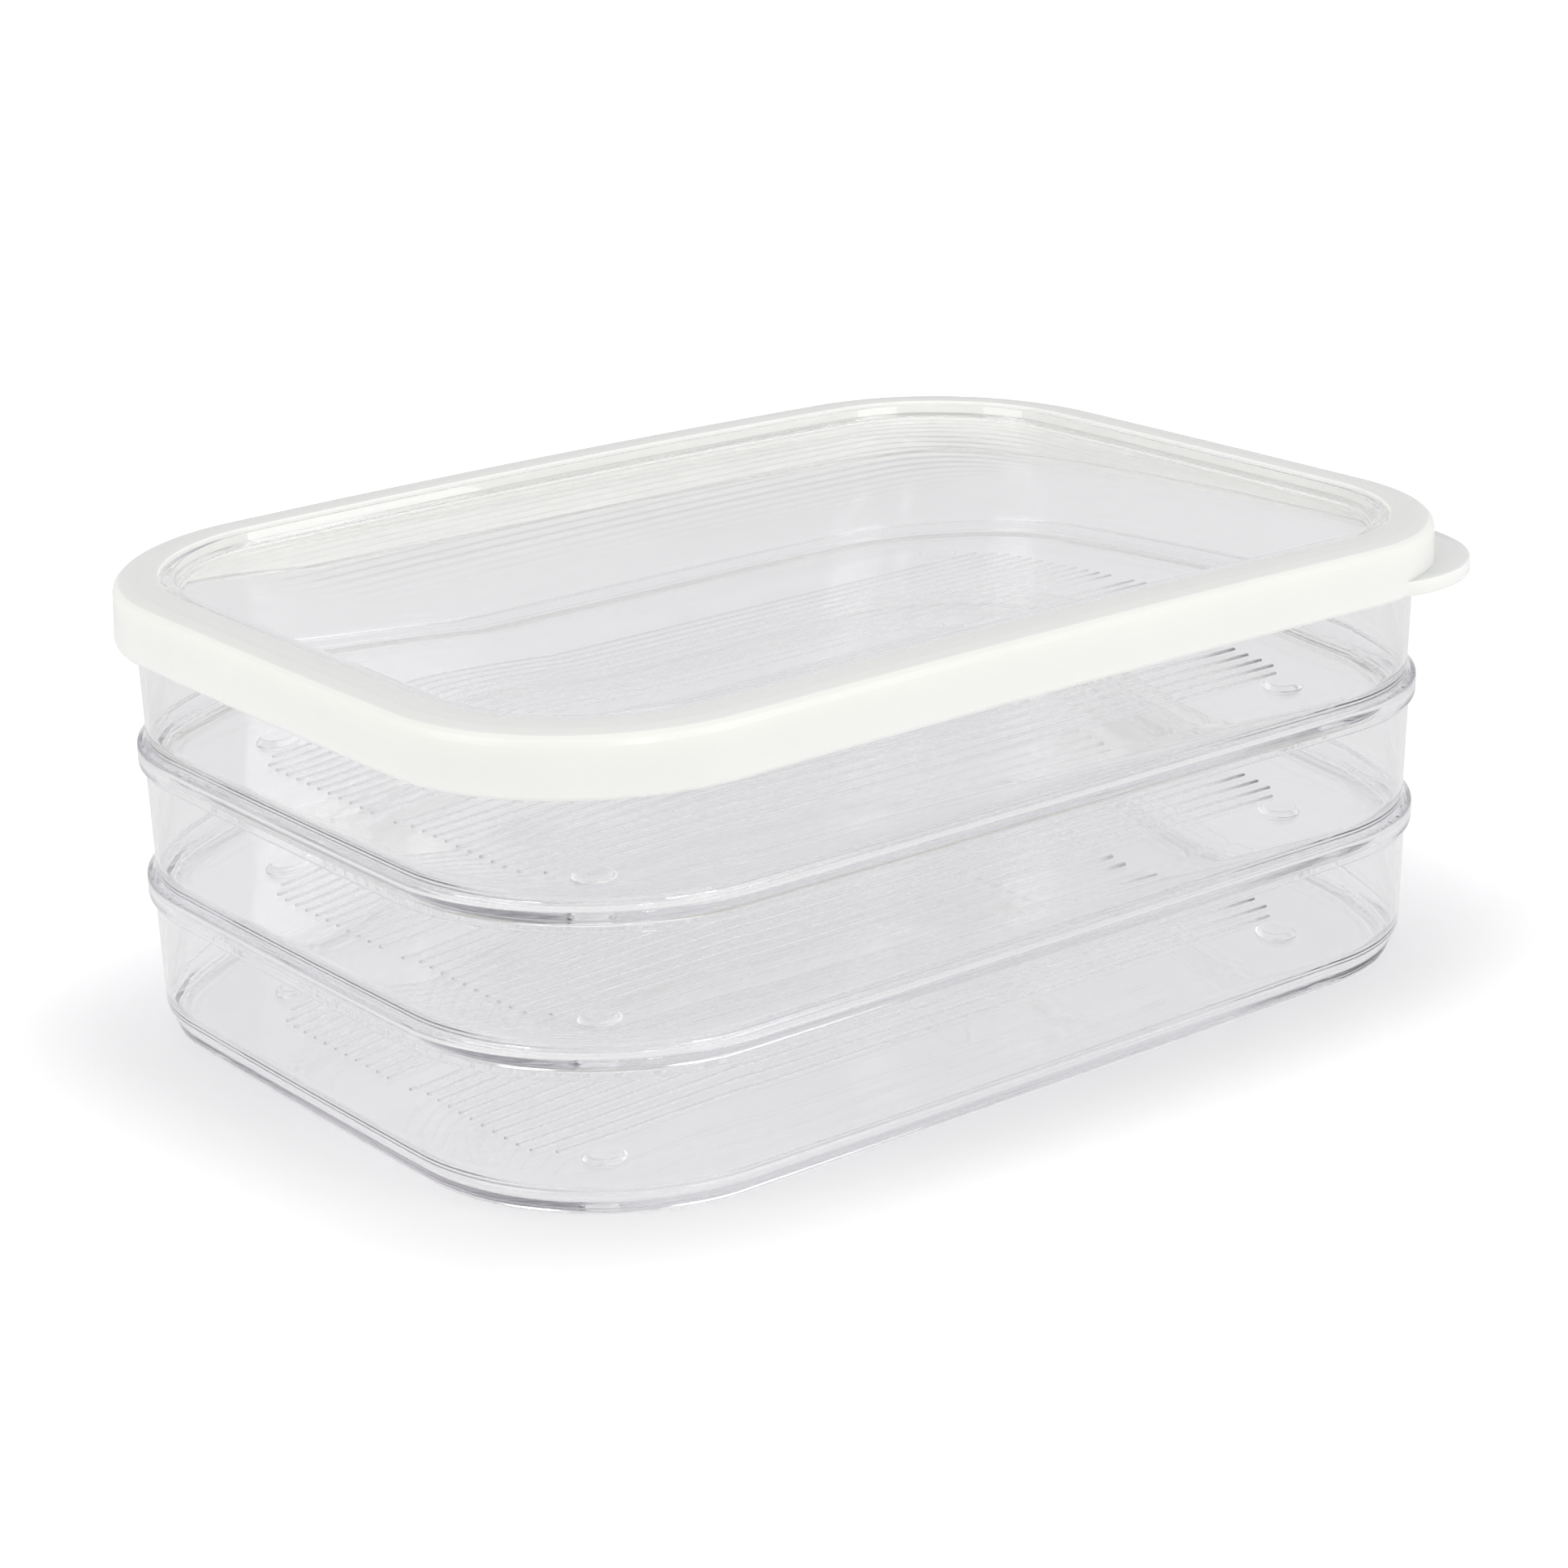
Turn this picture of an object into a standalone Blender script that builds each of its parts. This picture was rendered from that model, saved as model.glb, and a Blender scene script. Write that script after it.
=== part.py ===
"""Stacked refrigerator trays: three clear nesting trays under a framed lid with a clear window.

Lengths in Blender are metres, and the section profiles below are written in millimetres. The
long side runs along X and the short side along Y. The origin is the centre of the stack on the
surface it rests on, and +Z is up.

Every outline is the lid's outer rounded rectangle moved inwards by an inset, so each moulding
is a section of (inset, height) points lofted around that outline into one closed body.
"""

import math

import bmesh
import bpy

MM = 0.001

# Plan of the stack, in millimetres
LID_LENGTH = 320
LID_WIDTH = 229
LID_CORNER_RADIUS = 57.5
LONG_SIDE_BOW = 0.9  # how far a long side bulges out at its middle
SHORT_SIDE_BOW = 1.4
TRAY_CORNER_EASE = 3.3  # how much larger the trays' corner radius is than the lid's

# Heights, in millimetres
TRAY_PITCH = 36  # what each tray adds to the stack
FLOOR_TOP = 2
LEDGE_HEIGHT = 6  # top of the plug that nests inside the rim below
RIM_TOP = LEDGE_HEIGHT + TRAY_PITCH - 0.3  # just under the ledge of the tray above
BEAD_BOTTOM = 35.3  # the bead is the thickened band around the rim
SKIRT_BOTTOM = 104.4
LID_SEAT = 2 * TRAY_PITCH + RIM_TOP + 0.35  # the part of the lid that rests on the top rim
LID_LAND = 120.3  # the flat top of the frame, beside the window
LID_CEILING = LID_LAND - 2.35  # the underside of the frame's land
WINDOW_TOP = 115.8
WINDOW_THICKNESS = 2
LID_ARCH = 2.1  # how far the lid rises at the middle of its length

# Insets and roundings of a tray's wall, in millimetres
WALL_FOOT_INSET = 5
WALL_HEAD_INSET = 4.2
BEAD_REACH = 1.7
BEAD_ROUNDING = 2
RIM_INNER_INSET = 5.7
INNER_HEAD_INSET = 6.1
INNER_FOOT_INSET = 6.9
NESTING_DEPTH = 4  # how far the tray above plugs into the rim
FLOOR_FILLET = 9

# Anti-slip ribs and round pads on each tray floor, in millimetres
RIB_PITCH = 5
RIBS_PER_SIDE = 12
RIB_WIDTH = 1.5
RIB_CREST_WIDTH = 0.8
RIB_HEIGHT = 0.6
RIB_FIELD_HALF_LENGTH = 126
RIB_FIELD_HALF_WIDTH = 61.5
RIB_FIELD_CORNER = 10
PAD_X = 114
PAD_Y = 69.5
PAD_RADIUS = 5.6
PAD_HEIGHT = 1.3
PAD_TAPER = 1
SINK = 0.7  # how deep a rib or a pad reaches into the floor that it is moulded with

# Pull tab of the lid frame, at the +X, -Y corner, in millimetres
TAB_X = 124
TAB_Y = -75
TAB_RADIUS = 39.3
TAB_TOP = 108.7
TAB_WALL = 1.5
TAB_BOTTOM = SKIRT_BOTTOM + 0.2
TAB_ROUNDING = 0.5
SKIRT_MIDDLE = 0.9  # inset of the middle of the skirt's thickness

# How finely round stretches are divided
CORNER_SEGMENTS = 6
LONG_SIDE_POINTS = (77, 52, 27)  # none at x = 0, so the middle strip of the arched lid is level
SHORT_SIDE_POINTS = (20, 40)
PAD_SEGMENTS = 14
RIB_END_SEGMENTS = 3
TAB_SEGMENTS = 60


def clear_scene():
    for thing in list(bpy.data.objects):
        bpy.data.objects.remove(thing, do_unlink=True)


def plastic(name, colour, roughness, transmission):
    material = bpy.data.materials.new(name)
    material.use_nodes = True
    shader = material.node_tree.nodes["Principled BSDF"]
    shader.inputs["Base Color"].default_value = (*colour, 1)
    shader.inputs["Roughness"].default_value = roughness
    shader.inputs["Metallic"].default_value = 0
    shader.inputs["Transmission Weight"].default_value = transmission
    material.diffuse_color = (*colour, 1 - 0.65 * transmission)
    return material


def outline(inset, corner_ease=0):
    """The lid's outer outline moved inwards by inset: a closed ring, counter-clockwise.

    Its points mirror about both axes. The corners are eased to a larger radius by corner_ease,
    and all four sides bow outwards.
    """
    half_x = LID_LENGTH / 2 - inset
    half_y = LID_WIDTH / 2 - inset
    radius = LID_CORNER_RADIUS - inset + corner_ease
    quadrant = [(half_x, y) for y in SHORT_SIDE_POINTS]
    for step in range(CORNER_SEGMENTS + 1):
        angle = math.pi / 2 * step / CORNER_SEGMENTS
        x = half_x - radius + radius * math.cos(angle)
        y = half_y - radius + radius * math.sin(angle)
        quadrant.append((x, y))
    quadrant += [(x, half_y) for x in LONG_SIDE_POINTS]
    bowed = []
    for x, y in quadrant:
        out_x = SHORT_SIDE_BOW * (1 - (y / half_y) ** 2) * x / half_x
        out_y = LONG_SIDE_BOW * (1 - (x / half_x) ** 2) * y / half_y
        bowed.append((x + out_x, y + out_y))
    upper = bowed + [(-x, y) for x, y in reversed(bowed)]
    return upper + [(x, -y) for x, y in reversed(upper)]


def circle(radius, centre_x, centre_y, segments):
    angles = [2 * math.pi * step / segments for step in range(segments)]
    return [(centre_x + radius * math.cos(a), centre_y + radius * math.sin(a)) for a in angles]


def section_arc(inset, height, reach, rise, start, end, steps):
    """Points of a section along an elliptical arc. Angle 0 points outwards and 90 points up."""
    points = []
    for step in range(steps + 1):
        angle = math.radians(start + (end - start) * step / steps)
        points.append((inset - reach * math.cos(angle), height + rise * math.sin(angle)))
    return points


def add_loft(mesh, rings, add_cap=None):
    """Join rings of (points, height) into walls. Without a cap, the section is a closed one."""
    loops = []
    for points, height in rings:
        loops.append([mesh.verts.new((x * MM, y * MM, height * MM)) for x, y in points])
    pairs = list(zip(loops, loops[1:]))
    if not add_cap:
        pairs.append((loops[-1], loops[0]))
    for lower, upper in pairs:
        for i in range(len(lower)):
            j = (i + 1) % len(lower)
            mesh.faces.new((lower[i], lower[j], upper[j], upper[i]))
    if add_cap:
        add_cap(mesh, loops[0])
        add_cap(mesh, loops[-1])


def plain_cap(mesh, loop):
    mesh.faces.new(loop)


def strip_cap(mesh, loop):
    """Fill a ring that mirrors about the X axis with strips across it, each of them flat."""
    last = len(loop) - 1
    for i in range(len(loop) // 2 - 1):
        corners = (loop[i], loop[i + 1], loop[last - i - 1], loop[last - i])
        mesh.faces.new(corners)


def make_object(name, mesh, material=None):
    bmesh.ops.recalc_face_normals(mesh, faces=mesh.faces)
    data = bpy.data.meshes.new(name)
    mesh.to_mesh(data)
    mesh.free()
    if material:
        data.materials.append(material)
    piece = bpy.data.objects.new(name, data)
    bpy.context.collection.objects.link(piece)
    return piece


def lofted(name, rings, material=None, add_cap=plain_cap):
    mesh = bmesh.new()
    add_loft(mesh, rings, add_cap)
    return make_object(name, mesh, material)


def combine(piece, other, operation):
    """Apply an exact Boolean to piece and delete the other object."""
    modifier = piece.modifiers.new(operation.lower(), "BOOLEAN")
    modifier.operation = operation
    modifier.solver = "EXACT"
    modifier.object = other
    graph = bpy.context.evaluated_depsgraph_get()
    result = bpy.data.meshes.new_from_object(piece.evaluated_get(graph))
    piece.modifiers.clear()
    result.name = piece.name
    piece.data = result
    bpy.data.objects.remove(other, do_unlink=True)


def shade(piece):
    piece.data.shade_smooth()
    piece.data.set_sharp_from_angle(angle=math.radians(35))


def arch_lengthwise(piece):
    """Raise each point of a lid piece along the lid's arch, which falls to nothing at its ends."""
    for vertex in piece.data.vertices:
        along = vertex.co.x / (LID_LENGTH / 2 * MM)
        vertex.co.z += LID_ARCH * MM * max(0.0, 1 - along**2)


def tray_section():
    """From the underside, up the outside, over the rim and down the inside to the floor."""
    foot_and_plug = [
        (10.6, 0.4),
        (10, 0),
        (8, 0),
        (7.4, 0.4),
        (7.3, 1.5),
        (6.8, 2.1),
        (6, LEDGE_HEIGHT),
    ]
    wall_foot = [(WALL_FOOT_INSET, LEDGE_HEIGHT)]
    low, high = BEAD_BOTTOM + BEAD_ROUNDING, RIM_TOP - BEAD_ROUNDING
    bead = section_arc(WALL_HEAD_INSET, low, BEAD_REACH, BEAD_ROUNDING, -90, 0, 3)
    bead += section_arc(WALL_HEAD_INSET, high, BEAD_REACH, BEAD_ROUNDING, 0, 90, 3)
    inside = [(RIM_INNER_INSET, RIM_TOP), (INNER_HEAD_INSET, RIM_TOP - NESTING_DEPTH)]
    fillet_inset, fillet_height = INNER_FOOT_INSET + FLOOR_FILLET, FLOOR_TOP + FLOOR_FILLET
    fillet = section_arc(fillet_inset, fillet_height, FLOOR_FILLET, FLOOR_FILLET, 0, -90, 4)
    return foot_and_plug + wall_foot + bead + inside + fillet


def rib_half_length(y):
    """Ribs near the edge of the field stop short, which rounds the field's corners."""
    into_corner = abs(y) - (RIB_FIELD_HALF_WIDTH - RIB_FIELD_CORNER)
    if into_corner <= 0:
        return RIB_FIELD_HALF_LENGTH
    return RIB_FIELD_HALF_LENGTH - RIB_FIELD_CORNER + math.sqrt(RIB_FIELD_CORNER**2 - into_corner**2)


def rib_outline(half_length, width, y):
    """A long slot shape with round ends, in the order of a ring that mirrors about its axis."""
    radius = width / 2
    right = []
    for step in range(RIB_END_SEGMENTS + 1):
        angle = math.pi / 2 * (step + 0.5) / (RIB_END_SEGMENTS + 0.5)
        right.append((half_length - radius + radius * math.cos(angle), radius * math.sin(angle)))
    upper = right + [(-x, dy) for x, dy in reversed(right)]
    ring = upper + [(x, -dy) for x, dy in reversed(upper)]
    return [(x, y + dy) for x, dy in ring]


def floor_relief():
    """The ribs and the four round pads, reaching a little into the floor."""
    mesh = bmesh.new()
    base = FLOOR_TOP - SINK
    for number in range(1, RIBS_PER_SIDE + 1):
        for y in (number * RIB_PITCH, -number * RIB_PITCH):
            half_length = rib_half_length(y)
            foot = rib_outline(half_length, RIB_WIDTH, y)
            crest = rib_outline(half_length, RIB_CREST_WIDTH, y)
            add_loft(mesh, [(foot, base), (crest, FLOOR_TOP + RIB_HEIGHT)], plain_cap)
    for x in (-PAD_X, PAD_X):
        for y in (-PAD_Y, PAD_Y):
            foot = circle(PAD_RADIUS, x, y, PAD_SEGMENTS)
            top = circle(PAD_RADIUS - PAD_TAPER, x, y, PAD_SEGMENTS)
            add_loft(mesh, [(foot, base), (top, FLOOR_TOP + PAD_HEIGHT)], plain_cap)
    return make_object("floor_relief", mesh)


def make_trays(material):
    rings = [(outline(inset, TRAY_CORNER_EASE), height) for inset, height in tray_section()]
    bottom = lofted("tray_bottom", rings, material)
    combine(bottom, floor_relief(), "UNION")
    shade(bottom)
    for level, name in enumerate(("tray_middle", "tray_top"), start=1):
        tray = bpy.data.objects.new(name, bottom.data)
        tray.location.z = level * TRAY_PITCH * MM
        bpy.context.collection.objects.link(tray)


def frame_section():
    """A closed section: up the skirt, over the shoulder and the land, then back underneath."""
    skirt = [(0.5, SKIRT_BOTTOM), (0.1, SKIRT_BOTTOM + 0.4), (0, SKIRT_BOTTOM + 1)]
    shoulder = section_arc(2.85, LID_LAND - 3.3, 2.4, 2.3, 0, 90, 3)
    land = [(5, LID_LAND - 0.2), (8, LID_LAND), (11.8, LID_LAND), (12.2, LID_LAND - 0.4)]
    drop = [(12.4, WINDOW_TOP), (10.9, WINDOW_TOP), (10.7, LID_CEILING - 0.3), (10.4, LID_CEILING)]
    seat = [(7.4, LID_CEILING), (7, LID_SEAT), (2.6, LID_SEAT)]
    underside = seat + [(1.9, LID_SEAT - 0.8), (1.7, SKIRT_BOTTOM)]
    return skirt + shoulder + land + drop + underside


def make_tab():
    """A shallow disc with a turned-down edge, cut back to the middle of the lid's skirt."""
    section = [
        (TAB_RADIUS - TAB_WALL, TAB_TOP - TAB_WALL),
        (TAB_RADIUS - TAB_WALL, TAB_BOTTOM),
        (TAB_RADIUS, TAB_BOTTOM),
        (TAB_RADIUS, TAB_TOP - TAB_ROUNDING),
        (TAB_RADIUS - TAB_ROUNDING, TAB_TOP),
    ]
    rings = [(circle(radius, TAB_X, TAB_Y, TAB_SEGMENTS), height) for radius, height in section]
    tab = lofted("tab", rings)
    inside = outline(SKIRT_MIDDLE)
    combine(tab, lofted("lid_inside", [(inside, TAB_BOTTOM - 5), (inside, TAB_TOP + 5)]), "DIFFERENCE")
    return tab


def make_lid_frame(material):
    rings = [(outline(inset), height) for inset, height in frame_section()]
    frame = lofted("lid_frame", rings, material, add_cap=None)
    combine(frame, make_tab(), "UNION")
    arch_lengthwise(frame)
    shade(frame)


def window_section():
    """From the underside, up outside the raised rim and down to the recessed window."""
    underside = WINDOW_TOP - WINDOW_THICKNESS
    outside = section_arc(14.5, underside + 1.8, 1.8, 1.8, -90, 0, 2)
    rim = [(12.5, LID_LAND - 0.8), (12.8, LID_LAND - 0.5), (15.5, LID_LAND - 0.5), (15.8, LID_LAND - 0.8)]
    fillet = section_arc(18.4, WINDOW_TOP + 1.9, 2.1, 1.9, 0, -90, 3)
    return outside + rim + fillet


def make_lid_panel(material):
    rings = [(outline(inset), height) for inset, height in window_section()]
    panel = lofted("lid_panel", rings, material, strip_cap)
    arch_lengthwise(panel)
    shade(panel)


clear_scene()
make_trays(plastic("clear_tray_plastic", (0.93, 0.94, 0.96), 0.04, transmission=1))
make_lid_frame(plastic("milky_frame_plastic", (0.93, 0.93, 0.90), 0.32, transmission=0))
make_lid_panel(plastic("clear_window_plastic", (0.93, 0.94, 0.96), 0.04, transmission=1))
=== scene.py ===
"""The looks of the fridge bin: three clear nesting trays and a milky-framed lid with a clear window.

Every moulding is lofted again here around the frame's own outlines, with finer rounding than the
CAD solids hold, and stands for its CAD node. Sections and outlines are in millimetres, and
everything else is in metres.
"""

import math

import bmesh
import bpy
from mathutils import Matrix, Vector


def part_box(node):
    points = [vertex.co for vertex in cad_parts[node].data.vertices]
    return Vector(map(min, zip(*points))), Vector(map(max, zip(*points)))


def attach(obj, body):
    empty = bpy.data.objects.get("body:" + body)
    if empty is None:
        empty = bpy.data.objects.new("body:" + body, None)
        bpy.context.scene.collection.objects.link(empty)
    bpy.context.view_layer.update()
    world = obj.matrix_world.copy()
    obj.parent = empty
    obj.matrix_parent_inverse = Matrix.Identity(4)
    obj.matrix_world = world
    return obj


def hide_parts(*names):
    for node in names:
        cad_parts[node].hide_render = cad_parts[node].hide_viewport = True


MM = 0.001

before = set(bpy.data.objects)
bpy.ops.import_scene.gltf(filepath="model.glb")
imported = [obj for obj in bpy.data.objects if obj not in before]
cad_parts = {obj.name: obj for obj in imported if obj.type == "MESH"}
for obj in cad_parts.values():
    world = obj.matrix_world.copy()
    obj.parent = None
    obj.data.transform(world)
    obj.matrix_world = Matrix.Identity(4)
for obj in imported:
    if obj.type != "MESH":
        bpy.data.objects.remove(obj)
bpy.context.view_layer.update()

# ---------------------------------------------------------------- sizes taken from the CAD parts

tray_low, tray_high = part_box("tray_bottom")
middle_low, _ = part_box("tray_middle")
frame_low, frame_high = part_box("lid_frame")
panel_low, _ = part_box("lid_panel")

LONG_SIDE_BOW = 0.9
SHORT_SIDE_BOW = 1.4
HALF_LENGTH = -frame_low.x / MM - SHORT_SIDE_BOW  # of the lid's outline, without the bow
HALF_WIDTH = -frame_low.y / MM - LONG_SIDE_BOW
LID_CORNER_RADIUS = 57.5
TRAY_CORNER_EASE = 3.3  # added to the corner radius of a tray's outline
TRAY_PITCH = (middle_low.z - tray_low.z) / MM
RIM_TOP = tray_high.z / MM
LID_ARCH = 2.1  # how far the lid rises at the middle of its length
ARCH_HALF_SPAN = 160
LID_LAND = frame_high.z / MM - LID_ARCH  # the flat top of the lid's frame, beside the window
LID_CEILING = LID_LAND - 2.35  # the underside of the land
LID_SEAT = 2 * TRAY_PITCH + RIM_TOP + 0.35  # the part of the lid that rests on the top rim
SKIRT_BOTTOM = frame_low.z / MM
WINDOW_THICKNESS = 2
WINDOW_TOP = panel_low.z / MM + WINDOW_THICKNESS

CORNER_SEGMENTS = 28
LONG_SIDE_SEGMENTS = 14
SHORT_SIDE_SEGMENTS = 8
SMOOTHING_ANGLE = 30  # degrees; sharper edges stay sharp
EDGE_SHARE = 0.48  # the most of a section's edge that the rounding of one corner may take


# ---------------------------------------------------------------- outlines and sections

def side_points(half_span, segments):
    """Places along half a straight side, from near its middle to just before its end."""
    return [half_span * (i + 0.5) / (segments + 0.5) for i in range(segments)]


def outline(inset, corner_ease=0):
    """The lid's outer outline moved inwards by inset: a closed ring, counter-clockwise."""
    half_x = HALF_LENGTH - inset
    half_y = HALF_WIDTH - inset
    radius = LID_CORNER_RADIUS - inset + corner_ease
    straight_x = half_x - radius
    straight_y = half_y - radius
    quadrant = [(half_x, y) for y in side_points(straight_y, SHORT_SIDE_SEGMENTS)]
    for step in range(CORNER_SEGMENTS + 1):
        angle = math.pi / 2 * step / CORNER_SEGMENTS
        quadrant.append((straight_x + radius * math.cos(angle), straight_y + radius * math.sin(angle)))
    quadrant += [(x, half_y) for x in reversed(side_points(straight_x, LONG_SIDE_SEGMENTS))]
    bowed = []
    for x, y in quadrant:
        out_x = SHORT_SIDE_BOW * (1 - (y / half_y) ** 2) * x / half_x
        out_y = LONG_SIDE_BOW * (1 - (x / half_x) ** 2) * y / half_y
        bowed.append((x + out_x, y + out_y))
    upper = bowed + [(-x, y) for x, y in reversed(bowed)]
    return upper + [(x, -y) for x, y in reversed(upper)]


def circle(radius, centre_x, centre_y, segments):
    angles = [2 * math.pi * step / segments for step in range(segments)]
    return [(centre_x + radius * math.cos(a), centre_y + radius * math.sin(a)) for a in angles]


def rounded(points, closed=False, steps=4):
    """Round a section's corners. Each point is (inset, height, radius), and radius 0 keeps it."""
    result = []
    count = len(points)
    for i, (px, pz, radius) in enumerate(points):
        at_end = not closed and i in (0, count - 1)
        if radius <= 0 or at_end:
            result.append((px, pz))
            continue
        before = Vector(points[i - 1][:2])
        after = Vector(points[(i + 1) % count][:2])
        here = Vector((px, pz))
        into = (before - here).normalized()
        out = (after - here).normalized()
        half_turn = into.angle(out) / 2
        setback = radius / math.tan(half_turn)
        shorter_edge = min((before - here).length, (after - here).length)
        setback = min(setback, shorter_edge * EDGE_SHARE)
        first, last = here + into * setback, here + out * setback
        for step in range(steps + 1):
            t = step / steps
            point = first * (1 - t) ** 2 + here * (2 * t * (1 - t)) + last * t**2
            result.append((point.x, point.y))
    return result


# ---------------------------------------------------------------- meshes and pieces

def plain_cap(mesh, loop):
    mesh.faces.new(loop)


def strip_cap(mesh, loop):
    """Fill a ring that mirrors about the X axis with strips across it."""
    last = len(loop) - 1
    for i in range(len(loop) // 2 - 1):
        mesh.faces.new((loop[i], loop[i + 1], loop[last - i - 1], loop[last - i]))


def loft(mesh, rings, add_cap=plain_cap):
    """Join (points, height) rings into walls with two caps. With no cap the section is closed."""
    loops = []
    for points, height in rings:
        loops.append([mesh.verts.new((x * MM, y * MM, height * MM)) for x, y in points])
    pairs = list(zip(loops, loops[1:]))
    if add_cap is None:
        pairs.append((loops[-1], loops[0]))
    for lower, upper in pairs:
        for i in range(len(lower)):
            j = (i + 1) % len(lower)
            mesh.faces.new((lower[i], lower[j], upper[j], upper[i]))
    if add_cap is not None:
        add_cap(mesh, loops[0])
        add_cap(mesh, loops[-1])


def new_piece(name, mesh):
    bmesh.ops.recalc_face_normals(mesh, faces=mesh.faces)
    data = bpy.data.meshes.new(name)
    mesh.to_mesh(data)
    mesh.free()
    piece = bpy.data.objects.new(name, data)
    bpy.context.scene.collection.objects.link(piece)
    return piece


def lofted(name, rings, add_cap=plain_cap):
    mesh = bmesh.new()
    loft(mesh, rings, add_cap)
    return new_piece(name, mesh)


def combine(piece, other, operation):
    modifier = piece.modifiers.new(operation.lower(), "BOOLEAN")
    modifier.operation = operation
    modifier.solver = "EXACT"
    modifier.object = other
    graph = bpy.context.evaluated_depsgraph_get()
    result = bpy.data.meshes.new_from_object(piece.evaluated_get(graph))
    piece.modifiers.clear()
    piece.data = result
    bpy.data.objects.remove(other, do_unlink=True)


def finish_surface(piece, material):
    piece.data.shade_smooth()
    piece.data.set_sharp_from_angle(angle=math.radians(SMOOTHING_ANGLE))
    piece.data.materials.append(material)


def arch_lengthwise(piece):
    for vertex in piece.data.vertices:
        along = vertex.co.x / (ARCH_HALF_SPAN * MM)
        vertex.co.z += LID_ARCH * MM * max(0.0, 1 - along**2)


def stand_for(piece, body, cad_node):
    """Let the piece move with a body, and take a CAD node's place."""
    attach(piece, body)
    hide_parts(cad_node)


# ---------------------------------------------------------------- trays

FLOOR_TOP = 2
FLOOR_FILLET = 9
FLOOR_FILLET_STEPS = 16
LEDGE_HEIGHT = 6  # top of the plug that nests inside the rim below
WALL_FOOT_INSET = 5
WALL_HEAD_INSET = 4.2
BEAD_BOTTOM = 35.3
BEAD_FACE = 2.5  # inset of the bead's outermost face
BEAD_ROUNDING = 1.9
RIM_INNER_INSET = 5.7
INNER_HEAD_INSET = 6.1
INNER_FOOT_INSET = 6.9
NESTING_DEPTH = 4  # how far the plug of the tray above reaches below the rim

RIB_PITCH = 5
RIBS_PER_SIDE = 12
RIB_WIDTH = 1.7
RIB_HEIGHT = 0.5
RIB_SECTION_STEPS = 4
RIB_CREST_ANGLE = 80  # degrees; the rest of the quarter round is left flat on top
RIB_END_SEGMENTS = 4
RIB_FIELD_HALF_LENGTH = 126
RIB_FIELD_HALF_WIDTH = 61.5
RIB_FIELD_CORNER = 10
PAD_X = 114
PAD_Y = 69.5
PAD_RADIUS = 5.6
PAD_HEIGHT = 1.3
PAD_SEGMENTS = 32
SINK = 0.7  # how far ribs and pads reach into the floor that they are joined to


def tray_section():
    """Up the outside from the foot band, over the bead and rim, and down the inside to the floor."""
    foot_and_plug = rounded([
        (10.6, 0.4, 0),
        (10, 0, 0.3),
        (8, 0, 0.5),
        (7.4, 0.4, 0.3),
        (7.3, 1.5, 0.5),
        (6.8, 2.1, 0.5),
        (6, LEDGE_HEIGHT, 0.25),
        (WALL_FOOT_INSET, LEDGE_HEIGHT, 0.35),
        (WALL_HEAD_INSET, BEAD_BOTTOM, 0),
    ], steps=3)
    bead_and_inner_wall = rounded([
        (WALL_HEAD_INSET, BEAD_BOTTOM, 0),
        (BEAD_FACE, BEAD_BOTTOM + 0.7, BEAD_ROUNDING),
        (BEAD_FACE, RIM_TOP - 0.5, BEAD_ROUNDING),
        (4, RIM_TOP, 0.5),
        (RIM_INNER_INSET, RIM_TOP, 0.35),
        (INNER_HEAD_INSET, RIM_TOP - NESTING_DEPTH, 1.5),
        (INNER_FOOT_INSET, FLOOR_TOP + FLOOR_FILLET, 0),
    ], steps=8)
    fillet = []
    for step in range(1, FLOOR_FILLET_STEPS + 1):
        angle = math.pi / 2 * step / FLOOR_FILLET_STEPS
        inset = INNER_FOOT_INSET + FLOOR_FILLET * (1 - math.cos(angle))
        fillet.append((inset, FLOOR_TOP + FLOOR_FILLET * (1 - math.sin(angle))))
    return foot_and_plug + bead_and_inner_wall[1:] + fillet


def rib_half_length(y):
    """The ribs fill a rectangle with rounded corners, so the outer ones are shorter."""
    into_corner = abs(y) - (RIB_FIELD_HALF_WIDTH - RIB_FIELD_CORNER)
    if into_corner <= 0:
        return RIB_FIELD_HALF_LENGTH
    return RIB_FIELD_HALF_LENGTH - RIB_FIELD_CORNER + math.sqrt(RIB_FIELD_CORNER**2 - into_corner**2)


def slot_ring(half_length, radius, y):
    """A slot's outline along X, with round ends."""
    right = []
    for step in range(RIB_END_SEGMENTS + 1):
        angle = math.pi / 2 * (step + 0.5) / (RIB_END_SEGMENTS + 0.5)
        right.append((half_length + radius * math.cos(angle), radius * math.sin(angle)))
    upper = right + [(-x, dy) for x, dy in reversed(right)]
    ring = upper + [(x, -dy) for x, dy in reversed(upper)]
    return [(x, y + dy) for x, dy in ring]


def rib_rings(y):
    half = RIB_WIDTH / 2
    length = rib_half_length(y) - half
    rings = [(slot_ring(length, half, y), FLOOR_TOP - SINK)]
    for step in range(RIB_SECTION_STEPS + 1):
        angle = math.radians(RIB_CREST_ANGLE * step / RIB_SECTION_STEPS)
        height = FLOOR_TOP + RIB_HEIGHT * math.sin(angle)
        rings.append((slot_ring(length, half * math.cos(angle), y), height))
    return rings


def pad_rings(x, y):
    section = rounded([
        (PAD_RADIUS, FLOOR_TOP - SINK, 0),
        (PAD_RADIUS, FLOOR_TOP + 0.2, 0.5),
        (PAD_RADIUS - 1, FLOOR_TOP + PAD_HEIGHT, 0.8),
        (PAD_RADIUS - 2, FLOOR_TOP + PAD_HEIGHT, 0),
    ])
    return [(circle(radius, x, y, PAD_SEGMENTS), height) for radius, height in section]


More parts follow.
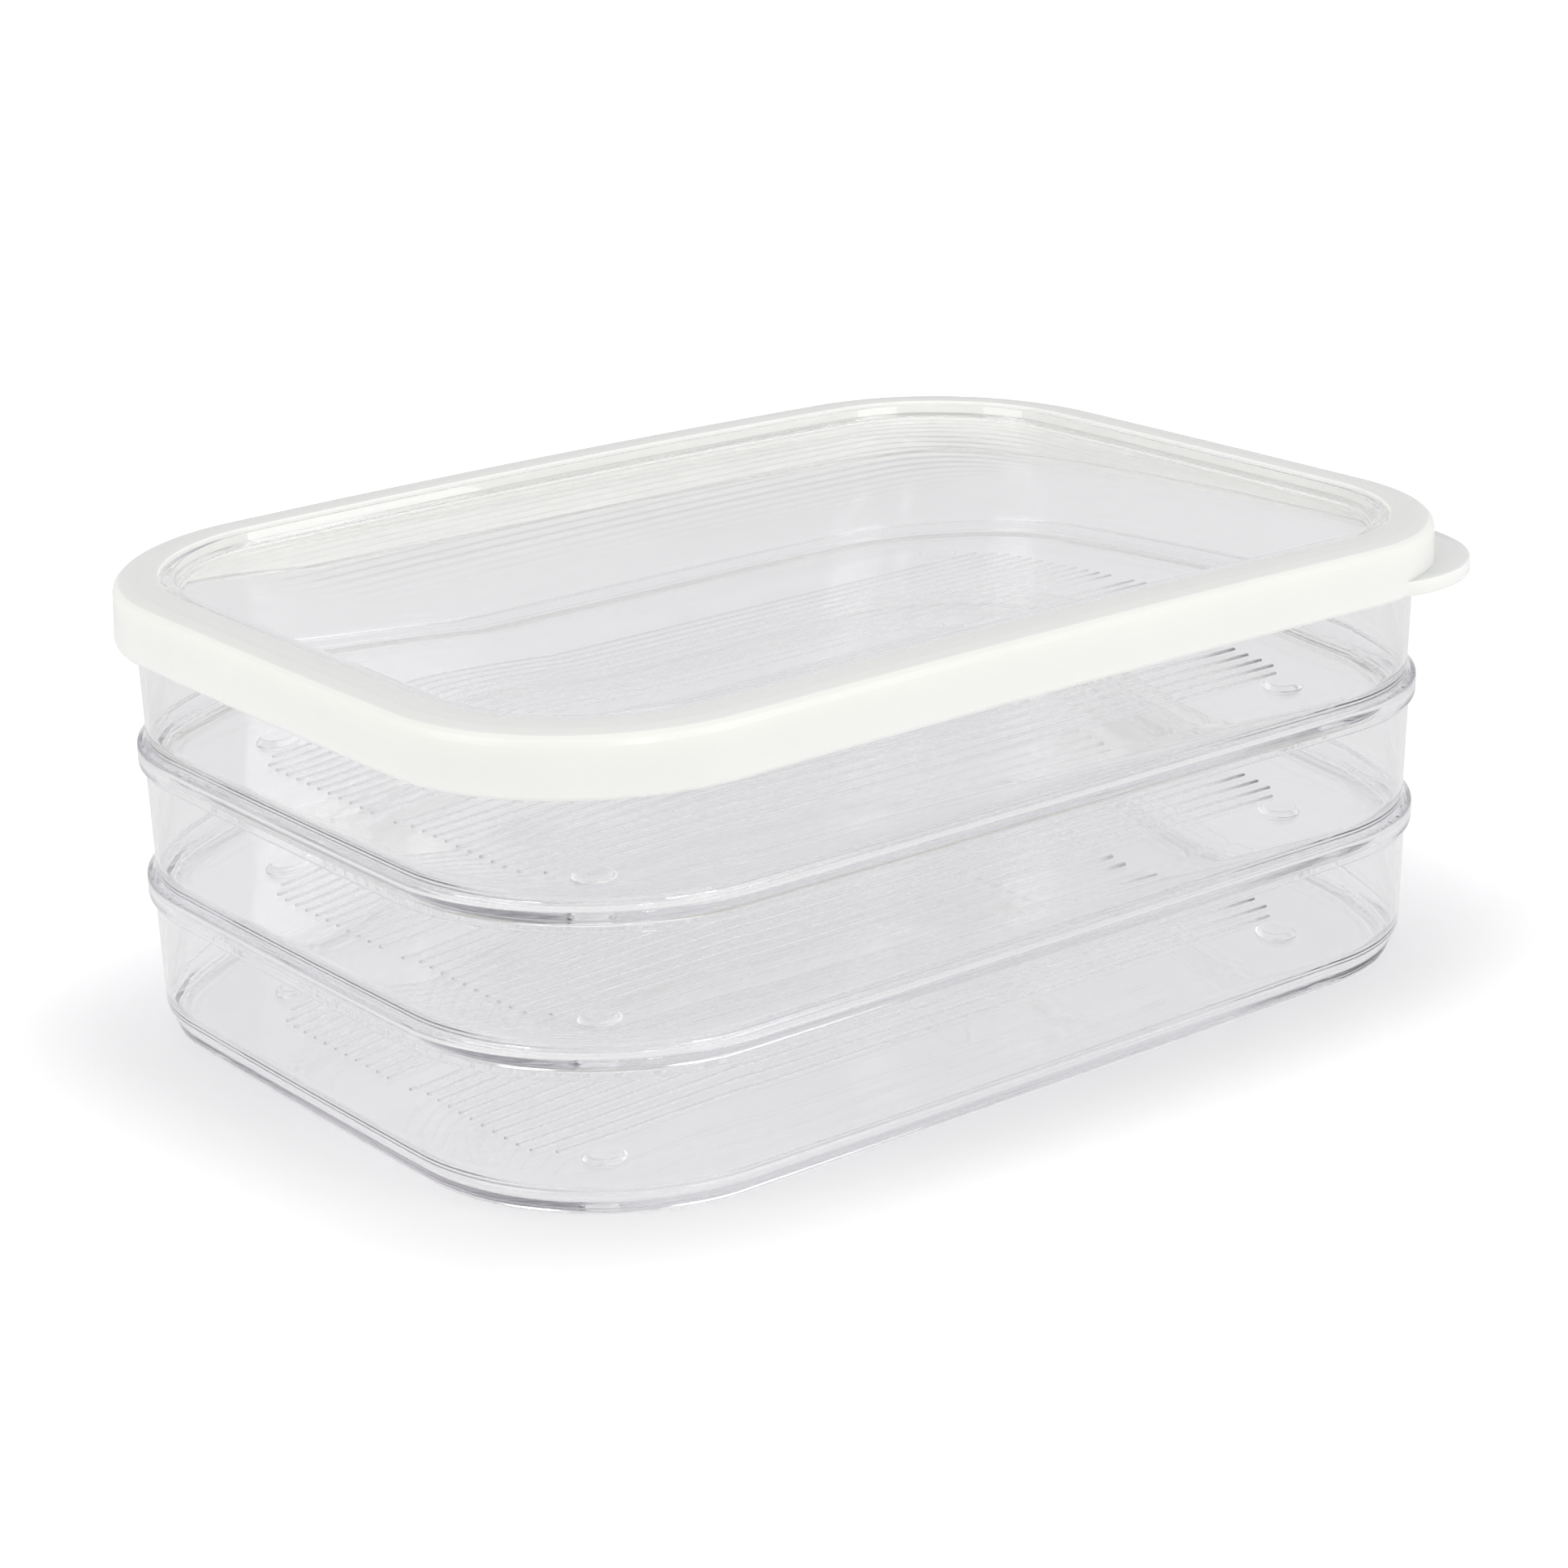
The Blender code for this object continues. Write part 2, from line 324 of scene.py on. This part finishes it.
def floor_relief():
    """The ribs, with none on the centre line, and the four pads."""
    mesh = bmesh.new()
    for number in range(1, RIBS_PER_SIDE + 1):
        for y in (number * RIB_PITCH, -number * RIB_PITCH):
            loft(mesh, rib_rings(y))
    for x in (-PAD_X, PAD_X):
        for y in (-PAD_Y, PAD_Y):
            loft(mesh, pad_rings(x, y))
    return new_piece("floor_relief", mesh)


def make_trays(material):
    rings = [(outline(inset, TRAY_CORNER_EASE), height) for inset, height in tray_section()]
    tray = lofted("clear_tray_1", rings)
    combine(tray, floor_relief(), "UNION")
    finish_surface(tray, material)
    trays = [tray]
    for number in (2, 3):
        copy = bpy.data.objects.new(f"clear_tray_{number}", tray.data)
        bpy.context.scene.collection.objects.link(copy)
        trays.append(copy)
    bodies = ("bottom_tray", "middle_tray", "top_tray")
    nodes = ("tray_bottom", "tray_middle", "tray_top")
    for piece, body, cad_node in zip(trays, bodies, nodes):
        piece.location.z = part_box(cad_node)[0].z
        stand_for(piece, body, cad_node)


# ---------------------------------------------------------------- lid

SKIRT_INNER_INSET = 1.7
SEAT_OUTER_INSET = 2.6
SEAT_INNER_INSET = 7
LAND_INNER_INSET = 12.2

TAB_X = 124
TAB_Y = -75
TAB_RADIUS = 39.3
TAB_TOP = 108.7
TAB_WALL = 1.5
TAB_SEGMENTS = 128
TAB_ROOT_INSET = 0.9  # the tab is cut back to here, inside the skirt's wall


def frame_section():
    """A closed section: up the skirt, over the shoulder and the land, then back underneath."""
    return rounded([
        (0.35, SKIRT_BOTTOM, 0.5),
        (0, SKIRT_BOTTOM + 1, 0.6),
        (0.45, LID_LAND - 3.3, 1.0),
        (0.85, LID_LAND - 1.9, 1.0),
        (2.0, LID_LAND - 0.9, 1.2),
        (5.0, LID_LAND - 0.15, 2.5),
        (8.0, LID_LAND, 1.5),
        (LAND_INNER_INSET, LID_LAND - 0.05, 0.5),
        (12.4, WINDOW_TOP, 0.3),
        (10.9, WINDOW_TOP, 0.3),
        (10.7, LID_CEILING, 0.4),
        (7.4, LID_CEILING, 0.4),
        (SEAT_INNER_INSET, LID_SEAT, 0.4),
        (SEAT_OUTER_INSET, LID_SEAT, 0.8),
        (1.9, LID_SEAT - 0.8, 0.4),
        (SKIRT_INNER_INSET, SKIRT_BOTTOM, 0.3),
    ], closed=True)


def make_tab():
    """A shallow disc with a turned-down edge, cut back to the lid's skirt."""
    section = [
        (TAB_RADIUS - TAB_WALL, TAB_TOP - TAB_WALL),
        (TAB_RADIUS - TAB_WALL, SKIRT_BOTTOM + 0.3),
        (TAB_RADIUS - 0.3, SKIRT_BOTTOM + 0.2),
        (TAB_RADIUS, SKIRT_BOTTOM + 0.6),
        (TAB_RADIUS, TAB_TOP - 0.7),
        (TAB_RADIUS - 0.2, TAB_TOP - 0.2),
        (TAB_RADIUS - 0.7, TAB_TOP),
    ]
    rings = [(circle(radius, TAB_X, TAB_Y, TAB_SEGMENTS), height) for radius, height in section]
    tab = lofted("tab", rings)
    root = outline(TAB_ROOT_INSET)
    combine(tab, lofted("inside", [(root, SKIRT_BOTTOM - 5), (root, TAB_TOP + 5)]), "DIFFERENCE")
    return tab


def make_lid_frame(material):
    rings = [(outline(inset), height) for inset, height in frame_section()]
    piece = lofted("lid_surround", rings, add_cap=None)
    combine(piece, make_tab(), "UNION")
    arch_lengthwise(piece)
    finish_surface(piece, material)
    stand_for(piece, "lid", "lid_frame")


def window_section():
    """The window's edge rises inside the frame, and its outer side is bonded into the frame's drop."""
    underside = WINDOW_TOP - WINDOW_THICKNESS
    return rounded([
        (17, underside, 0),
        (13.2, underside + 0.1, 0.8),
        (12.5, WINDOW_TOP - 0.2, 0.4),
        (11.8, WINDOW_TOP + 0.4, 0.2),
        (11.8, LID_LAND - 0.7, 0.2),
        (15.8, LID_LAND - 0.5, 0.35),
        (16.5, WINDOW_TOP + 1.5, 1.0),
        (17.2, WINDOW_TOP + 0.2, 1.0),
        (19, WINDOW_TOP, 0),
    ], steps=5)


def make_lid_window(material):
    rings = [(outline(inset), height) for inset, height in window_section()]
    piece = lofted("lid_window", rings, strip_cap)
    arch_lengthwise(piece)
    finish_surface(piece, material)
    stand_for(piece, "lid", "lid_panel")


# ---------------------------------------------------------------- materials

CLEAR_SURFACE = (0.988, 0.988, 0.991, 1)
CLEAR_IOR = 1.5
CLEAR_HAZE = 0.03  # the largest roughness of the clear plastic
CLEAR_SHADOW = (0.97, 0.97, 0.975, 1)
DEPTH_TINT = (0.6, 0.58, 0.64, 1)
DEPTH_DENSITY = 3.2  # per metre

MILKY_DARKER = (0.82, 0.824, 0.785, 1)
MILKY_LIGHTER = (0.85, 0.854, 0.815, 1)
LEVEL_FACE_PAINTED_SHADE = (0.72, 0.73, 0.72, 1)  # painted shade: the grey that the level upper faces turn towards
LAND_PAINTED_SHADE_SHARE = 0.6  # how far the land turns towards the painted shade; the tab's flange turns all the way
LEVEL_FACING = (0.8, 0.99)  # upward component of the normal, from sloping to level, over which the painted shade comes in
# painted light: the glow of the inward faces, in place of light through the thin wall
PAINTED_INNER_GLOW = 0.14
MILKY_SCATTER = (0.003, 0.003, 0.0028)

FLOOR_SEEN = (0.96, 0.96, 0.96, 1)
FLOOR_THROUGH_PLASTIC = (0.50, 0.50, 0.50, 1)
FLOOR_GLOW_THROUGH_PLASTIC = 0.37
FLOOR_NEAR_LIFT = (0.95, 1.5, 0, 0.28)  # from and to which reach, and the glow at each
FLOOR_FAR_LIFT = (2.5, 12, 0, 0.5)

WHITE = (1, 1, 1, 1)


def node(tree, kind, inputs=None, **settings):
    """Add a shader node and give its unlinked inputs their values."""
    made = tree.nodes.new(kind)
    for name, value in settings.items():
        setattr(made, name, value)
    for socket, value in (inputs or {}).items():
        made.inputs[socket].default_value = value
    return made


def remap(tree, source, from_min, from_max, to_min, to_max, style="LINEAR"):
    """Map a value from one range to another, clamped at both ends."""
    ranges = {"From Min": from_min, "From Max": from_max, "To Min": to_min, "To Max": to_max}
    made = node(tree, "ShaderNodeMapRange", ranges, interpolation_type=style)
    tree.links.new(source, made.inputs["Value"])
    return made


def noise_bump(tree, place, scale, detail, strength, distance):
    noise = node(tree, "ShaderNodeTexNoise", {"Scale": scale, "Detail": detail})
    tree.links.new(place.outputs["Object"], noise.inputs["Vector"])
    bump = node(tree, "ShaderNodeBump", {"Strength": strength, "Distance": distance})
    tree.links.new(noise.outputs["Fac"], bump.inputs["Height"])
    return bump


def pick_shader(tree, chooser, usual, chosen):
    """Use one shader, and another where the chooser is 1."""
    mix = node(tree, "ShaderNodeMixShader")
    tree.links.new(chooser, mix.inputs["Fac"])
    tree.links.new(usual, mix.inputs[1])
    tree.links.new(chosen, mix.inputs[2])
    return mix


def new_material(name):
    material = bpy.data.materials.new(name)
    material.use_nodes = True
    return material, material.node_tree


def clear_plastic(name):
    """Clear moulded plastic: faint flow waviness and haze, a lilac tint in depth, light shadows."""
    material, tree = new_material(name)
    link = tree.links.new
    output = tree.nodes["Material Output"]
    shader = tree.nodes["Principled BSDF"]
    place = node(tree, "ShaderNodeTexCoord")
    flow = noise_bump(tree, place, scale=9, detail=1, strength=0.03, distance=0.0005)
    link(flow.outputs["Normal"], shader.inputs["Normal"])
    haze = node(tree, "ShaderNodeTexNoise", {"Scale": 60, "Detail": 4})
    link(place.outputs["Object"], haze.inputs["Vector"])
    rough = remap(tree, haze.outputs["Fac"], 0, 1, 0, CLEAR_HAZE)
    link(rough.outputs["Result"], shader.inputs["Roughness"])
    shader.inputs["Base Color"].default_value = CLEAR_SURFACE
    shader.inputs["Transmission Weight"].default_value = 1
    shader.inputs["IOR"].default_value = CLEAR_IOR
    through = node(tree, "ShaderNodeBsdfTransparent", {"Color": CLEAR_SHADOW})
    path = node(tree, "ShaderNodeLightPath")
    is_shadow = path.outputs["Is Shadow Ray"]
    surface = pick_shader(tree, is_shadow, shader.outputs["BSDF"], through.outputs["BSDF"])
    link(surface.outputs["Shader"], output.inputs["Surface"])
    depth = node(tree, "ShaderNodeVolumeAbsorption", {"Color": DEPTH_TINT, "Density": DEPTH_DENSITY})
    link(depth.outputs["Volume"], output.inputs["Volume"])
    return material


def milky_plastic(name):
    """Soft milky plastic with a satin skin. Its level upper faces carry painted shade, a greyer tone,
    and its inward faces have a painted glow, in place of the light that comes through the thin wall."""
    material, tree = new_material(name)
    link = tree.links.new
    shader = tree.nodes["Principled BSDF"]
    place = node(tree, "ShaderNodeTexCoord")
    grain = noise_bump(tree, place, scale=900, detail=3, strength=0.05, distance=0.0002)
    link(grain.outputs["Normal"], shader.inputs["Normal"])
    clouds = node(tree, "ShaderNodeTexNoise", {"Scale": 25})
    link(place.outputs["Object"], clouds.inputs["Vector"])
    tone = node(tree, "ShaderNodeValToRGB")
    tone.color_ramp.elements[0].color = MILKY_DARKER
    tone.color_ramp.elements[1].color = MILKY_LIGHTER
    link(clouds.outputs["Fac"], tone.inputs["Fac"])

    # Painted shade: faces that turn level and upward are mixed towards a grey, part way on the land
    # and fully on the tab's flange.
    geometry = node(tree, "ShaderNodeNewGeometry")
    facing = node(tree, "ShaderNodeSeparateXYZ")
    link(geometry.outputs["Normal"], facing.inputs["Vector"])
    level = remap(tree, facing.outputs["Z"], *LEVEL_FACING, 0, 1)
    position = node(tree, "ShaderNodeSeparateXYZ")
    link(place.outputs["Object"], position.inputs["Vector"])
    land_from, tab_to = (TAB_TOP + 4) * MM, (TAB_TOP + 2) * MM
    painted_shade_share = remap(tree, position.outputs["Z"], land_from, tab_to, LAND_PAINTED_SHADE_SHARE, 1, "STEPPED")
    painted_shade_share.inputs["Steps"].default_value = 1
    flat = node(tree, "ShaderNodeMath", operation="MULTIPLY")
    link(level.outputs["Result"], flat.inputs[0])
    link(painted_shade_share.outputs["Result"], flat.inputs[1])
    skin = node(tree, "ShaderNodeMix", {7: LEVEL_FACE_PAINTED_SHADE}, data_type="RGBA")
    link(flat.outputs["Value"], skin.inputs[0])
    link(tone.outputs["Color"], skin.inputs[6])
    link(skin.outputs[2], shader.inputs["Base Color"])

    # Painted light: faces turned towards the object's middle glow with the milky tone, in place of the
    # light that comes through the thin wall.
    outward = node(tree, "ShaderNodeVectorMath", operation="DOT_PRODUCT")
    link(geometry.outputs["Normal"], outward.inputs[0])
    link(place.outputs["Object"], outward.inputs[1])
    inward = node(tree, "ShaderNodeMath", {1: 0}, operation="LESS_THAN")
    link(outward.outputs["Value"], inward.inputs[0])
    glow = node(tree, "ShaderNodeMath", {1: PAINTED_INNER_GLOW}, operation="MULTIPLY")
    link(inward.outputs["Value"], glow.inputs[0])
    link(tone.outputs["Color"], shader.inputs["Emission Color"])
    link(glow.outputs["Value"], shader.inputs["Emission Strength"])

    shader.inputs["Roughness"].default_value = 0.27
    shader.inputs["Specular IOR Level"].default_value = 0.3
    shader.inputs["Subsurface Weight"].default_value = 1
    shader.inputs["Subsurface Radius"].default_value = MILKY_SCATTER
    shader.inputs["Subsurface Scale"].default_value = 1
    return material


def reach_from_object(tree):
    """Distance over the floor in a rounded-box measure: 1 at the foot of the lid's outline."""
    link = tree.links.new
    place = node(tree, "ShaderNodeTexCoord")
    per_size = (1 / (HALF_LENGTH * MM), 1 / (HALF_WIDTH * MM), 0)
    scaled = node(tree, "ShaderNodeVectorMath", {1: per_size}, operation="MULTIPLY")
    link(place.outputs["Object"], scaled.inputs[0])
    squared = node(tree, "ShaderNodeVectorMath", operation="MULTIPLY")
    link(scaled.outputs["Vector"], squared.inputs[0])
    link(scaled.outputs["Vector"], squared.inputs[1])
    length = node(tree, "ShaderNodeVectorMath", operation="LENGTH")
    link(squared.outputs["Vector"], length.inputs[0])
    reach = node(tree, "ShaderNodeMath", operation="SQRT")
    link(length.outputs["Value"], reach.inputs[0])
    return reach.outputs["Value"]


def floor_material():
    """A pale matt sheet: near white to the camera, grey and evenly lit when seen through plastic.

    To the camera it also glows a little beyond the object's shadow, and more so far away, where it
    meets the white backdrop.
    """
    material, tree = new_material("studio_floor")
    link = tree.links.new
    shader = tree.nodes["Principled BSDF"]
    path = node(tree, "ShaderNodeLightPath")
    tone = node(tree, "ShaderNodeMix", {6: FLOOR_THROUGH_PLASTIC, 7: FLOOR_SEEN}, data_type="RGBA")
    link(path.outputs["Is Camera Ray"], tone.inputs[0])
    link(tone.outputs[2], shader.inputs["Base Color"])
    reach = reach_from_object(tree)
    near_lift = remap(tree, reach, *FLOOR_NEAR_LIFT, "SMOOTHSTEP")
    far_lift = remap(tree, reach, *FLOOR_FAR_LIFT)
    lift = node(tree, "ShaderNodeMath", operation="ADD")
    link(near_lift.outputs["Result"], lift.inputs[0])
    link(far_lift.outputs["Result"], lift.inputs[1])
    glow = node(tree, "ShaderNodeMix", {2: FLOOR_GLOW_THROUGH_PLASTIC}, data_type="FLOAT")
    link(path.outputs["Is Camera Ray"], glow.inputs[0])
    link(lift.outputs["Value"], glow.inputs[3])
    link(glow.outputs[0], shader.inputs["Emission Strength"])
    shader.inputs["Emission Color"].default_value = WHITE
    shader.inputs["Roughness"].default_value = 0.9
    shader.inputs["Specular IOR Level"].default_value = 0.0
    return material


# ---------------------------------------------------------------- stage

FLOOR_HALF_SIZE = 6
FLOOR_DROP = 0.0002  # keeps the floor clear of the foot band
HORIZON = (0.745, 0.742, 0.755, 1)
CEILING = (0.66, 0.66, 0.67, 1)
CEILING_FROM = 0.75  # upward component of the direction where the ceiling's tone is reached
TO_CAMERA = (-0.61, -0.78, 0.1)
TURN_RANGE = (-0.9, 0.9)  # over which the strength goes from behind the object to behind the camera
STRENGTH_BEHIND_OBJECT = 1.12
STRENGTH_BEHIND_CAMERA = 0.66
LID_MIDDLE = (0, 0, 0.1)
STACK_MIDDLE = (0, 0, 0.08)
CAMERA_PLACE = (-0.5835, -0.7415, 0.3727)
CAMERA_YAW = 38.10
CAMERA_PITCH = 18.78
CAMERA_ROLL = -1.17
CAMERA_LENS = 85.13
PLASTIC_BOUNCES = 96  # fewer leave black lines where light is trapped in the beads
TRANSPARENT_BOUNCES = 48
DIFFUSE_BOUNCES = 3


def make_floor():
    mesh = bmesh.new()
    bmesh.ops.create_grid(mesh, x_segments=1, y_segments=1, size=FLOOR_HALF_SIZE)
    floor = new_piece("studio_floor", mesh)
    floor.location.z = -FLOOR_DROP
    floor.data.materials.append(floor_material())


def make_world():
    """White to the camera. To everything else a soft grey room, brighter behind the object."""
    world = bpy.data.worlds.new("studio")
    bpy.context.scene.world = world
    world.use_nodes = True
    tree = world.node_tree
    tree.nodes.clear()
    link = tree.links.new
    output = node(tree, "ShaderNodeOutputWorld")
    direction = node(tree, "ShaderNodeTexCoord").outputs["Generated"]
    split = node(tree, "ShaderNodeSeparateXYZ")
    link(direction, split.inputs["Vector"])
    height = node(tree, "ShaderNodeValToRGB")
    height.color_ramp.elements[0].position = 0.0
    height.color_ramp.elements[0].color = HORIZON
    height.color_ramp.elements[1].position = CEILING_FROM
    height.color_ramp.elements[1].color = CEILING
    link(split.outputs["Z"], height.inputs["Fac"])
    towards = node(tree, "ShaderNodeVectorMath", {1: TO_CAMERA}, operation="DOT_PRODUCT")
    link(direction, towards.inputs[0])
    strengths = (STRENGTH_BEHIND_OBJECT, STRENGTH_BEHIND_CAMERA)
    strength = remap(tree, towards.outputs["Value"], *TURN_RANGE, *strengths, "SMOOTHSTEP")
    room = node(tree, "ShaderNodeBackground")
    link(height.outputs["Color"], room.inputs["Color"])
    link(strength.outputs["Result"], room.inputs["Strength"])
    backdrop = node(tree, "ShaderNodeBackground", {"Color": WHITE})
    path = node(tree, "ShaderNodeLightPath")
    is_camera = path.outputs["Is Camera Ray"]
    sky = pick_shader(tree, is_camera, room.outputs["Background"], backdrop.outputs["Background"])
    link(sky.outputs["Shader"], output.inputs["Surface"])


def softbox(name, place, aim, width, height, power):
    light = bpy.data.lights.new(name, "AREA")
    light.shape = "RECTANGLE"
    light.size = width
    light.size_y = height
    light.energy = power
    lamp = bpy.data.objects.new(name, light)
    bpy.context.scene.collection.objects.link(lamp)
    lamp.location = place
    lamp.rotation_euler = (Vector(aim) - Vector(place)).to_track_quat("-Z", "Y").to_euler()


def make_lights():
    """A large softbox on either side of the camera, a narrow lamp low behind it, one overhead."""
    softbox("left_softbox", (-1.35, 0.15, 0.75), STACK_MIDDLE, width=0.9, height=1.0, power=8)
    softbox("right_softbox", (0.45, -1.35, 0.75), STACK_MIDDLE, width=0.9, height=1.0, power=8.5)
    softbox("strip_lamp", (-0.51, -1.41, 0.44), LID_MIDDLE, width=0.16, height=0.24, power=2.5)
    softbox("top_softbox", (0.1, 0.3, 1.6), STACK_MIDDLE, width=1.2, height=1.0, power=1.5)


def make_camera():
    """A long lens a little above the lid, looking at the near corner."""
    camera = bpy.data.cameras.new("camera")
    camera.lens = CAMERA_LENS
    camera.sensor_width = 36
    camera.clip_start = 0.01
    viewer = bpy.data.objects.new("camera", camera)
    bpy.context.scene.collection.objects.link(viewer)
    yaw, pitch, roll = [math.radians(turn) for turn in (CAMERA_YAW, CAMERA_PITCH, CAMERA_ROLL)]
    level_forward = Vector((math.sin(yaw), math.cos(yaw), 0))
    forward = level_forward * math.cos(pitch) - Vector((0, 0, math.sin(pitch)))
    level = Vector((math.cos(yaw), -math.sin(yaw), 0))
    upright = level.cross(forward)
    right = level * math.cos(roll) + upright * math.sin(roll)
    up = upright * math.cos(roll) - level * math.sin(roll)
    turn = Matrix((right, up, -forward)).transposed().to_4x4()
    viewer.matrix_world = Matrix.Translation(CAMERA_PLACE) @ turn
    bpy.context.scene.camera = viewer


def set_light_paths():
    scene = bpy.context.scene
    scene.view_settings.view_transform = "Standard"
    scene.cycles.max_bounces = PLASTIC_BOUNCES
    scene.cycles.transmission_bounces = PLASTIC_BOUNCES
    scene.cycles.glossy_bounces = PLASTIC_BOUNCES
    scene.cycles.transparent_max_bounces = TRANSPARENT_BOUNCES
    scene.cycles.diffuse_bounces = DIFFUSE_BOUNCES


make_trays(clear_plastic("clear_tray_plastic"))
make_lid_frame(milky_plastic("milky_frame_plastic"))
make_lid_window(clear_plastic("clear_window_plastic"))
make_floor()
make_world()
make_lights()
make_camera()
set_light_paths()
